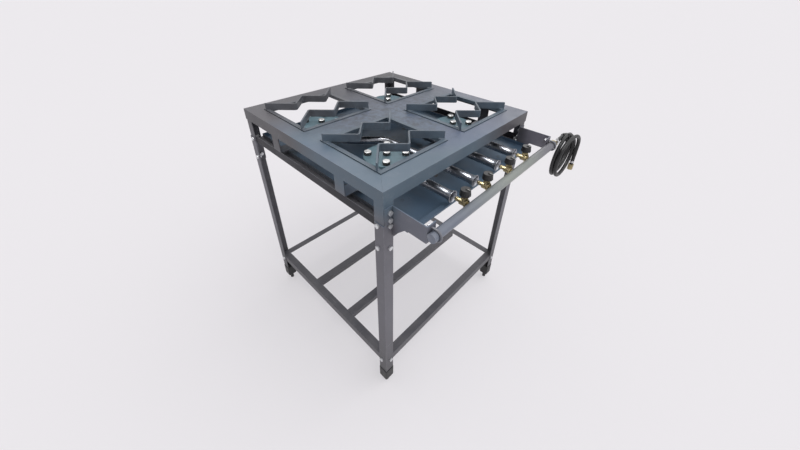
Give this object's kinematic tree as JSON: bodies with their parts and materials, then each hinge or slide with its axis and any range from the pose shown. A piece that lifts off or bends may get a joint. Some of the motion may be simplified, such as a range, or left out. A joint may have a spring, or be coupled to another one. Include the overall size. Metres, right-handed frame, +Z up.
{
  "type": "gas stove",
  "caption": "Open-frame industrial gas stove on folded-angle legs, with cast burners under lift-off grates, a front gas manifold with taps and a slide-out drip tray.",
  "frame": {"origin": "on the floor under the middle of the table top, midway between the four feet", "axes": "+Z up, -Y towards the gas manifold and its taps, +X to the right of someone facing the taps, where the gas inlet is"},
  "size_m": [0.9163, 0.9364, 0.948],
  "materials": {
    "frame_paint": "satin blue-grey paint",
    "grate_iron": "painted cast iron",
    "burner_iron": "painted cast iron",
    "jet_metal": "machined",
    "tube_steel": "plain steel tube",
    "brass": "machined",
    "knob_black": "moulded",
    "foot_black": "moulded",
    "hose_rubber": "smooth rubber",
    "tie_black": "moulded",
    "zinc": "zinc plated"
  },
  "bodies": {
    "stove_frame": {"burner_bar_front": "frame_paint", "burner_bar_rear": "frame_paint", "burner_front_left": "burner_iron", "burner_front_right": "burner_iron", "burner_jets": "jet_metal", "burner_rear_left": "burner_iron", "burner_rear_right": "burner_iron", "corner_post_front_left": "frame_paint", "corner_post_front_right": "frame_paint", "corner_post_rear_left": "frame_paint", "corner_post_rear_right": "frame_paint", "cross_arm_front": "frame_paint", "cross_arm_rear": "frame_paint", "cross_bar": "frame_paint", "feet": "foot_black", "frame_bolts": "zinc", "gas_hose": "hose_rubber", "gas_hose_coil": "hose_rubber", "hose_end_fitting": "brass", "hose_tie": "tie_black", "injectors": "brass", "inlet_nipple": "brass", "leg_front_left": "frame_paint", "leg_front_right": "frame_paint", "leg_rear_left": "frame_paint", "leg_rear_right": "frame_paint", "lower_rail_front": "frame_paint", "lower_rail_left": "frame_paint", "lower_rail_rear": "frame_paint", "lower_rail_right": "frame_paint", "manifold_bracket_left": "frame_paint", "manifold_bracket_right": "frame_paint", "manifold_pipe": "frame_paint", "mixing_tube_front_left": "tube_steel", "mixing_tube_front_right": "tube_steel", "mixing_tube_rear_left": "tube_steel", "mixing_tube_rear_right": "tube_steel", "pipe_u_bolts": "zinc", "shelf_bar_front": "frame_paint", "shelf_bar_rear": "frame_paint", "tap_front_left": "brass", "tap_front_right": "brass", "tap_rear_left": "brass", "tap_rear_right": "brass", "top_front_channel": "frame_paint", "top_left_channel": "frame_paint", "top_rear_channel": "frame_paint", "top_right_channel": "frame_paint", "tray_runner_left": "frame_paint", "tray_runner_right": "frame_paint"},
    "drip_tray": {"drip_tray": "frame_paint"},
    "knob_front_left": {"knob_front_left": "knob_black"},
    "knob_rear_left": {"knob_rear_left": "knob_black"},
    "knob_rear_right": {"knob_rear_right": "knob_black"},
    "knob_front_right": {"knob_front_right": "knob_black"},
    "grate_front_left": {"grate_front_left": "grate_iron"},
    "grate_front_right": {"grate_front_right": "grate_iron"},
    "grate_rear_left": {"grate_rear_left": "grate_iron"},
    "grate_rear_right": {"grate_rear_right": "grate_iron"}
  },
  "joints": [
    {"name": "knob_front_left_turn", "type": "hinge", "parent": "stove_frame", "child": "knob_front_left", "pos_m": [-0.175, -0.47715, 0.8393], "axis": [0, 0, 1], "range_deg": [0, 90]},
    {"name": "knob_rear_left_turn", "type": "hinge", "parent": "stove_frame", "child": "knob_rear_left", "pos_m": [-0.064, -0.47715, 0.8393], "axis": [0, 0, 1], "range_deg": [0, 90]},
    {"name": "knob_rear_right_turn", "type": "hinge", "parent": "stove_frame", "child": "knob_rear_right", "pos_m": [0.064, -0.47715, 0.8393], "axis": [0, 0, 1], "range_deg": [0, 90]},
    {"name": "knob_front_right_turn", "type": "hinge", "parent": "stove_frame", "child": "knob_front_right", "pos_m": [0.175, -0.47715, 0.8393], "axis": [0, 0, 1], "range_deg": [0, 90]},
    {"name": "drip_tray_slide", "type": "slide", "parent": "stove_frame", "child": "drip_tray", "axis": [0, -1, 0], "range_m": [0, 0.4]},
    {"name": "grate_front_left_lift", "type": "slide", "parent": "stove_frame", "child": "grate_front_left", "axis": [0, 0, 1], "range_m": [0, 0.12]},
    {"name": "grate_front_right_lift", "type": "slide", "parent": "stove_frame", "child": "grate_front_right", "axis": [0, 0, 1], "range_m": [0, 0.12]},
    {"name": "grate_rear_left_lift", "type": "slide", "parent": "stove_frame", "child": "grate_rear_left", "axis": [0, 0, 1], "range_m": [0, 0.12]},
    {"name": "grate_rear_right_lift", "type": "slide", "parent": "stove_frame", "child": "grate_rear_right", "axis": [0, 0, 1], "range_m": [0, 0.12]}
  ]
}
